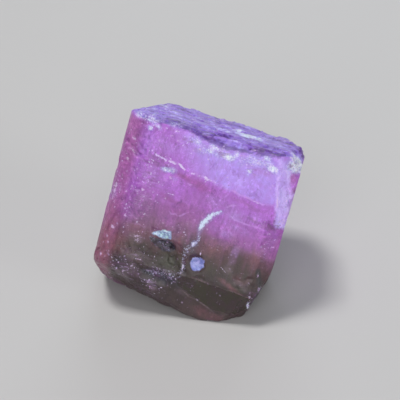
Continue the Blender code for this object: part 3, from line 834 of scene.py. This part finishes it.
def tourmaline_finish():
    """Worn, translucent tourmaline: its zones of colour, and the whites of its cracks, bruises and specks."""
    material = bpy.data.materials.new("tourmaline")
    material.use_nodes = True
    tree = material.node_tree
    shader = tree.nodes["Principled BSDF"].inputs

    def marked(name, output="Fac"):
        """A mark of the mesh, read back."""
        return node(tree, "Attribute", {}, output, attribute_name=name)

    place = marked("grown", "Vector")

    def noise(scale, detail=3.0, rough=0.55, stretch=None, twist=0.0):
        """Chance values from 0 to 1, in hills that are longer where the place is stretched less."""
        spot = node(tree, "VectorMath", {0: place, 1: stretch}, operation="MULTIPLY") if stretch else place
        inputs = {"Vector": spot, "Scale": scale, "Detail": detail, "Roughness": rough, "Distortion": twist}
        return node(tree, "TexNoise", inputs)

    def grouped(group, **inputs):
        """A group's mask."""
        return node(tree, "Group", {"Place": place, **inputs}, node_tree=group)

    def specks(scale, share, size):
        """Specks in a share of the cells, of which there are scale to a mm."""
        return grouped(SPECKS, Scale=scale, Share=share, Size=size)

    def frayed(name, fray, grain, soft):
        """The mask of a mark that is kept as a distance."""
        return grouped(FRAYED, Distance=marked(name), Fray=fray, Grain=grain, Soft=soft)

    def gritty(name, grain, strength=1.0):
        """The mask of a mark that is kept as an amount."""
        return grouped(GRITTY, Amount=times(marked(name), strength), Grain=grain)

    def line(name, grain, fray, border, core, rough=0.55):
        """A line's mask from its distance: 0 at its border, 1 at its core, both moved by noise."""
        return rise(linear(noise(grain, 3, rough), fray, marked(name)), border, core)

    def mottled(one, two, chance, low, high):
        """One tint that passes into another where chance goes from low to high."""
        return laid(rise(chance, low, high), pigment(*one), pigment(*two))

    def coat(tint, *shares):
        """Lays a tint, plain or from a node, over the colour so far, by the product of its shares."""
        nonlocal colour
        colour = laid(times(*shares), colour, pigment(*tint) if isinstance(tint, tuple) else tint)

    # Colour zones, from the foot up, which run into each other in fingers along the axis.
    fingers = linear(noise(1.2, 4, 0.6, (1, 1, 0.15)), 2.6, -1.3)
    clouds = linear(noise(0.4, 4, 0.65), 3, -1.5)
    height = maths("ADD", marked("height"), maths("ADD", fingers, clouds))
    zones = tree.nodes.new("ShaderNodeValToRGB")
    lowest, highest = -9, 9
    stops = [
        (-9, (74, 56, 58)), (-6, (54, 38, 38)), (-4, (54, 38, 35)), (-2.4, (72, 43, 48)),
        (-1, (98, 55, 76)), (0.3, (136, 82, 132)), (1.8, (160, 89, 172)), (4.5, (174, 97, 203)),
        (9, (176, 104, 208)),
    ]
    levels = zones.color_ramp.elements
    for index, (level, tint) in enumerate(stops):
        share_up = (level - lowest) / (highest - lowest)
        stop = levels[index] if index < 2 else levels.new(share_up)
        stop.position = share_up
        stop.color = pigment(*tint)
    share_up = node(tree, "MapRange", {"Value": height, "From Min": lowest, "From Max": highest})
    tree.links.new(share_up, zones.inputs[0])
    colour = zones.outputs[0]

    # Soft patches of tint, most of them broken up a little.
    patchy = rise(noise(1.4, 4, 0.65), 0.2, 0.65)
    # The left edge's redder tint is partly painted glow of light passing through that edge.
    for name, tint, *shares in (
        ("left", (174, 108, 142), 0.55),
        ("rosy", (154, 70, 154), 0.85),
        ("pale", (178, 136, 216), patchy, 0.8),
        ("dusky", (124, 71, 126), patchy, 0.9),
        ("warm", (136, 84, 96), patchy, 0.75),
        ("olive", (44, 42, 22), 0.95),
        ("slate", (48, 44, 62), patchy, 0.85),
        ("ashen", (140, 120, 136), patchy, 0.8),
    ):
        coat(tint, marked(name), *shares)
    # Painted sheen: pale violet reflected light above the bend and on the bevelled face.
    sheen_patchiness = rise(noise(0.9, 4, 0.6, None, 0.6), 0.25, 0.7)
    coat((184, 150, 240), marked("painted_sheen"), linear(sheen_patchiness, 0.45, 0.5))
    coat((206, 178, 255), frayed("bevel_sheen", 0.6, 1, 0.2), rise(noise(0.8), 0.1, 0.6), 0.95)

    # Milky and murky mottling, and faint threads along the axis.
    milky = times(rise(noise(0.9, 6, 0.75, (1, 1, 0.7), 1), 0.5, 0.64), 0.6)
    colour = laid(milky, colour, (1.35, 1.6, 1.3, 1), "MULTIPLY")
    murky = times(rise(noise(0.7, 6, 0.75, (1, 1, 0.6), 0.8), 0.49, 0.36), 0.7)
    colour = laid(murky, colour, (0.66, 0.5, 0.7, 1), "MULTIPLY")
    coat((104, 70, 116), rise(noise(2.6, 3, 0.6, (1, 1, 0.09)), 0.55, 0.72), 0.18)

    # Fine flecks, light and dark.
    flecks = noise(2.6, 6, 0.85, (1, 1, 0.8), 0.3)
    worn = linear(rise(noise(0.45), 0.38, 0.6), 0.75, 0.35)
    calm = times(linear(marked("painted_sheen"), -0.4, 0.8), worn)
    colour = laid(times(rise(flecks, 0.51, 0.64), calm), colour, (1.55, 1.6, 1.5, 1), "MULTIPLY")
    colour = laid(times(rise(flecks, 0.48, 0.36), calm), colour, (0.58, 0.5, 0.62, 1), "MULTIPLY")

    # The top's layers: fine purple lines, deeper purple painted shade on its darker patches, and pale violet
    # and bluish white on its crests, painted reflection and highlight.
    lines = noise(0.8, 5, 0.7, (0.5, 1.1, 2), 0.6)
    crumbs = noise(2.4, 5, 0.8, (0.7, 1, 1))
    mixed = linear(crumbs, 0.8, linear(lines, 1, -0.41))
    # Painted highlights on the top's crests, and painted shade on its darker patches.
    mixed = linear(marked("top_highlight"), 0.25, mixed)
    mixed = linear(marked("top_shade"), -0.2, mixed)
    layered = mottled((88, 52, 132), (150, 120, 216), mixed, 0.26, 0.46)
    layered = laid(rise(mixed, 0.54, 0.66), layered, pigment(180, 162, 250))
    layered = laid(rise(mixed, 0.66, 0.78), layered, pigment(214, 220, 255))
    top_shading = times(marked("top_shade"), rise(noise(0.8), 0.35, 0.6), 0.5)
    layered = laid(top_shading, layered, pigment(118, 62, 168))
    coat(layered, marked("top"))
    # Painted shade along the groove under the rim.
    coat((88, 54, 134), line("groove", 1.6, 0.9, 0.78, 0.46), 0.75)

    # The rough back is paler and greyer.
    coat((190, 165, 200), marked("back"), rise(noise(1.6, 5, 0.7), 0.35, 0.75), 0.35)

    # The glassy foot under its crisp edge, which has a painted highlight.
    glassy = frayed("glassy", 0.3, 1.2, 0.1)
    smoky = mottled((54, 34, 40), (50, 44, 28), noise(0.6, 4, 0.7), 0.4, 0.58)
    coat(smoky, glassy, 0.85)
    broken_up = rise(noise(0.9, 4, 0.7), 0.4, 0.6)
    # A painted highlight along the foot's crisp edge.
    coat((144, 116, 122), line("foot_edge_highlight", 1.5, 0.12, 0.18, 0.06), broken_up, 0.55)
    coat((150, 126, 136), line("foot_crack", 2, 0.2, 0.22, 0.1), broken_up, 0.6)
    # Painted shade in the pit, mottled with greyish specks.
    pit_shade = mottled((36, 30, 42), (112, 108, 142), noise(2.4, 5, 0.8), 0.48, 0.66)
    coat(pit_shade, frayed("pit", 0.8, 2.2, 0.08), 0.9)
    coat((46, 42, 46), line("low_crack", 2, 0.4, 0.6, 0.3), 0.85)

    # White of cracks, bruises and specks, and the painted glints of the dashes.
    bloom = rise(marked("bruise"), 0, 1)
    high_up = rise(marked("height"), -3, 0)
    coat((172, 160, 236), bloom, high_up, 0.6)
    coat((206, 200, 254), gritty("bruise", 4.2), 0.85)
    coat((238, 242, 255), gritty("bruise", 8), 0.9)
    coat((132, 118, 208), bloom, high_up, rise(noise(2.6, 4, 0.75), 0.5, 0.4), 0.6)
    coat((188, 192, 224), gritty("tail", 4.4), 0.9)
    coat((150, 138, 206), rise(marked("streak"), 0.4, 0), 0.35)
    coat((214, 228, 255), frayed("streak", 0.9, 3.2, 0.1), rise(noise(5.5, 5, 0.75), 0.3, 0.5))
    # Painted reflections on the two bluish chip patches.
    shine = mottled((142, 160, 204), (218, 242, 255), noise(2.4, 4, 0.7), 0.4, 0.62)
    coat(shine, frayed("upper_patch", 0.5, 2.4, 0.07))
    gleam = mottled((122, 132, 206), (190, 190, 244), noise(1.7, 4, 0.7), 0.38, 0.65)
    coat(gleam, frayed("lower_patch", 0.45, 2.4, 0.08))
    coat((216, 160, 240), line("wisp", 2.5, 0.2, 0.27, 0.1, 0.6), 0.5)
    # Painted glints along the bend.
    coat((230, 212, 252), gritty("glint_dashes", 5.5, 1.35), 0.85)
    coat((220, 194, 234), gritty("grain", 4, 1.25), 0.85)
    scuffed = marked("scuffed")
    scraped = noise(1.5, 5, 0.75, (0.4, 1, 1.5), 0.3)
    coat((114, 68, 118), scuffed, rise(scraped, 0.5, 0.4), 0.6)
    coat((202, 168, 222), scuffed, rise(scraped, 0.55, 0.64), 0.75)
    coat((212, 186, 240), specks(2.4, times(scuffed, 0.5), 0.34), 0.7)
    coat((230, 214, 252), specks(4, times(scuffed, 0.7), 0.42), 0.85)
    clusters = rise(noise(0.7, 3, 0.6), 0.42, 0.6)
    coat((218, 190, 232), specks(1.9, linear(marked("left"), 0.25, 0.2), 0.32), clusters, 0.7)
    coat((208, 180, 226), specks(3.2, 0.3, 0.3), 0.25)
    coat((72, 50, 80), specks(2.4, 0.25, 0.3), 0.3)

    tree.links.new(colour, shader["Base Color"])
    shader["IOR"].default_value = 1.63
    dull = linear(glassy, -0.2, linear(noise(2, 4, 0.7), 0.4, 0.15))
    tree.links.new(dull, shader["Roughness"])
    shader["Subsurface Weight"].default_value = 0.6
    shader["Subsurface Radius"].default_value = (1, 0.5, 0.9)
    shader["Subsurface Scale"].default_value = 0.0012

    ridges = times(noise(3.2, 3, 0.6, (1, 1, 0.06)), 0.5)
    bumps = linear(noise(4.5, 5, 0.75), 0.8, ridges)
    bump = node(tree, "Bump", {"Strength": 0.6, "Distance": 0.0001, "Height": bumps}, "Normal")
    tree.links.new(bump, shader["Normal"])
    return material


crystal_mesh.materials.append(tourmaline_finish())

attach(crystal, "root")
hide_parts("crystal")

# The floor is a plain pale board, wider than the view.
floor_mesh = bpy.data.meshes.new("floor")
floor_mesh.from_pydata([(-1, -1, 0), (1, -1, 0), (1, 1, 0), (-1, 1, 0)], [], [(0, 1, 2, 3)])
floor = bpy.data.objects.new("floor", floor_mesh)
scene.collection.objects.link(floor)
paint = bpy.data.materials.new("floor paint")
paint.use_nodes = True
coated = paint.node_tree.nodes["Principled BSDF"].inputs
coated["Base Color"].default_value = (0.56, 0.555, 0.55, 1)
coated["Roughness"].default_value = 0.6
floor_mesh.materials.append(paint)


# The light is a plain soft studio: the key lamp high above, a bit to the left, a wide one in front, one at
# the right and a cool one behind, in a dim pale room.
def lamp(name, towards, distance, size, power, colour):
    """A square lamp of this size in metres, this far from the stub in the given direction, aimed at it."""
    data = bpy.data.lights.new(name, "AREA")
    data.size = size
    data.energy = power
    data.color = colour
    made = bpy.data.objects.new(name, data)
    way = Vector(towards).normalized()
    made.location = Vector(CORE * MM) + way * distance
    made.rotation_euler = way.to_track_quat("Z", "Y").to_euler()
    scene.collection.objects.link(made)


lamp("key", (-0.3, 0.1, 1.0), 1.6, 0.4, 14.5, (1.0, 0.99, 0.98))
lamp("front", (-0.15, -1.0, 0.5), 1.6, 1.2, 12.0, (1.0, 0.98, 0.99))
lamp("right", (0.9, -0.55, 0.18), 1.6, 0.5, 6.5, (0.95, 0.97, 1.0))
lamp("back", (0.15, 0.9, 0.5), 1.2, 0.7, 3.0, (0.85, 0.92, 1.0))

world = bpy.data.worlds.new("room")
scene.world = world
world.use_nodes = True
glow = world.node_tree.nodes["Background"].inputs
glow["Color"].default_value = (0.92, 0.95, 1.0, 1)
glow["Strength"].default_value = 0.15
scene.view_settings.view_transform = "Standard"

# The camera looks down at the front from 32 degrees up and 128 mm off.
ELEVATION = 32.0
AIM = np.array((0.063, -0.535, 9.444))
OFF = 128.0
camera_data = bpy.data.cameras.new("camera")
camera_data.lens = 103.0
camera_data.sensor_width = 36.0
camera_data.clip_start = 0.005
camera = bpy.data.objects.new("camera", camera_data)
rise = math.radians(ELEVATION)
camera.location = (AIM + OFF * np.array((0, -math.cos(rise), math.sin(rise)))) * MM
camera.rotation_euler = (math.radians(90 - ELEVATION), 0, 0)
scene.collection.objects.link(camera)
scene.camera = camera
